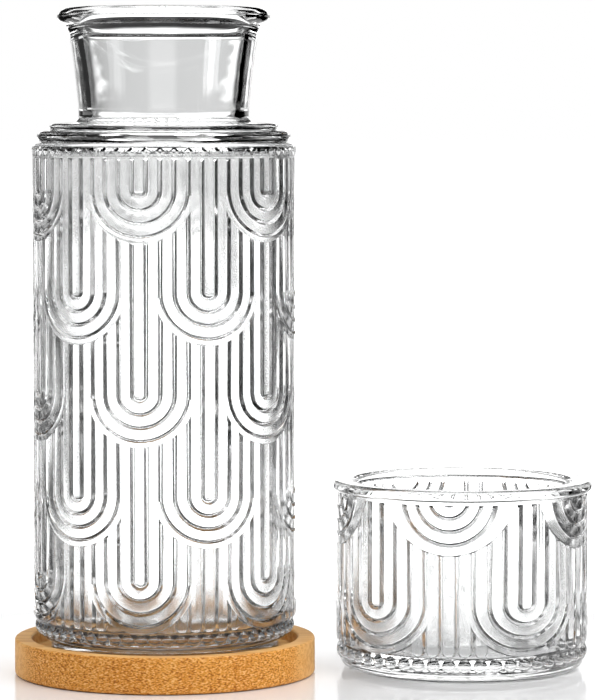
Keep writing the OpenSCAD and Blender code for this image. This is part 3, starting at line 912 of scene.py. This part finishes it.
class CARAFESET_OT_carafe(bpy.types.Operator):
    """Mould the carafe with its arches and beads"""

    bl_idname = "carafe_set.carafe"
    bl_label = "Mould the carafe"

    def execute(self, context):
        size, relief = context.scene.carafe_set_carafe, context.scene.carafe_set_relief
        foot = size.foot + size.foot_height + size.band_height
        top = size.top - size.neck_height - size.upper_height - size.lower_height - size.shoulder_height
        radius = size.body_radius - relief.rib_height
        glass = clear_glass("carafe_glass", (0.0, 0.0), foot, top, radius - size.wall + PLUNGER_MARGIN)
        wall = Wall(radius, size.body_radius, size.columns, relief, glass)
        rows = [top - FIRST_ROW * wall.pitch - i * size.row_pitch for i in range(size.rows - 1)]
        rows.append(foot + relief.border_reach * size.squash * wall.pitch)
        ribs, borders = arches("carafe", rows, foot, top + TOP_LAP, wall, size)
        borders.append(bead_row("carafe_bead", wall, top=foot, inset=0.6 * MM))
        marks = [pits(name, wall, top + PITS_UP, *shape) for name, shape in PITS.items()]
        steps = (("UNION", ribs), ("UNION", borders), ("DIFFERENCE", marks))
        piece = moulded("carafe_glass", carafe_outline(size, relief), steps, glass)
        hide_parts("carafe")
        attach(piece, "carafe")
        return {"FINISHED"}


class CARAFESET_OT_tumbler(bpy.types.Operator):
    """Press the tumbler with its arches and beads"""

    bl_idname = "carafe_set.tumbler"
    bl_label = "Press the tumbler"

    def execute(self, context):
        size, relief = context.scene.carafe_set_tumbler, context.scene.carafe_set_relief
        foot, top = size.foot_height + size.band_height, size.height - size.rim_height
        radius = size.inside_radius + size.wall
        centre = ((TUMBLER_LOW + TUMBLER_HIGH) / 2).xy
        glass = clear_glass("tumbler_glass", centre, foot, top, size.inside_radius + PLUNGER_MARGIN)
        wall = Wall(radius, radius + relief.rib_height, size.columns, relief, glass)
        rows = [top + size.rim_row_up, foot + relief.border_reach * size.squash * wall.pitch]
        ribs, borders = arches("tumbler", rows, foot, top + TOP_LAP, wall, size, rim_row=True)
        borders.append(bead_row("tumbler_bead", wall, top=foot, inset=0.4 * MM))
        steps = (("UNION", ribs), ("UNION", borders))
        piece = moulded("tumbler_glass", tumbler_outline(size, relief), steps, glass, centre)
        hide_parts("tumbler")
        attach(piece, "tumbler")
        return {"FINISHED"}


class CARAFESET_OT_stage(bpy.types.Operator):
    """Set the floor, the light and the camera"""

    bl_idname = "carafe_set.stage"
    bl_label = "Set the stage"

    def execute(self, context):
        stage, scene = context.scene.carafe_set_stage, context.scene
        bm = bmesh.new()
        bmesh.ops.create_circle(bm, cap_ends=True, radius=TABLE_RADIUS, segments=TABLE_STEPS)
        mesh = finished_mesh("table_top", bm)
        mesh.transform(Matrix.Translation((stage.aside, 0, -TABLE_DROP)))
        put(mesh, table_top(stage))
        studio(stage)
        key = bpy.data.lights.new("Key", "AREA")
        key.shape, key.size, key.energy = "DISK", KEY_SIZE, KEY_POWER
        lamp = put(key)
        lamp.location = KEY_PLACE
        lamp.rotation_euler = [math.radians(turn) for turn in KEY_TURN]
        view = bpy.data.cameras.new("Camera")
        view.lens, view.sensor_width = stage.lens, SENSOR_WIDTH
        camera = put(view)
        camera.location = (stage.aside, -stage.away, stage.eye)
        camera.rotation_euler = (math.pi / 2 - stage.tilt, 0, 0)
        scene.camera = camera
        scene.view_settings.view_transform = "Standard"
        return {"FINISHED"}


OPERATORS = (CARAFESET_OT_coaster, CARAFESET_OT_carafe, CARAFESET_OT_tumbler, CARAFESET_OT_stage)
GROUPS = {"relief": CarafeSetRelief, "carafe": CarafeSetCarafe, "tumbler": CarafeSetTumbler,
          "coaster": CarafeSetCoaster, "stage": CarafeSetStage}


class CARAFESET_PT_panel(bpy.types.Panel):
    """The set's sizes, colours and pieces"""

    bl_label = "Carafe set"
    bl_idname = "CARAFESET_PT_panel"
    bl_space_type = "VIEW_3D"
    bl_region_type = "UI"
    bl_category = "Carafe set"

    def draw(self, context):
        for part, group in GROUPS.items():
            box = self.layout.box()
            box.label(text=part.capitalize())
            for key in group.__annotations__:
                box.prop(getattr(context.scene, "carafe_set_" + part), key)
        for operator in OPERATORS:
            self.layout.operator(operator.bl_idname)


def register():
    """Makes the classes known to Blender."""
    for one in (*GROUPS.values(), *OPERATORS, CARAFESET_PT_panel):
        bpy.utils.register_class(one)
    for part, group in GROUPS.items():
        setattr(bpy.types.Scene, "carafe_set_" + part, PointerProperty(type=group))


def unregister():
    """Takes the classes away again."""
    for part in GROUPS:
        delattr(bpy.types.Scene, "carafe_set_" + part)
    for one in reversed((*GROUPS.values(), *OPERATORS, CARAFESET_PT_panel)):
        bpy.utils.unregister_class(one)


def main():
    """Makes every piece and the stage."""
    register()
    bpy.ops.carafe_set.coaster()
    bpy.ops.carafe_set.carafe()
    bpy.ops.carafe_set.tumbler()
    bpy.ops.carafe_set.stage()
    bpy.context.view_layer.update()


if __name__ == "__main__":
    main()
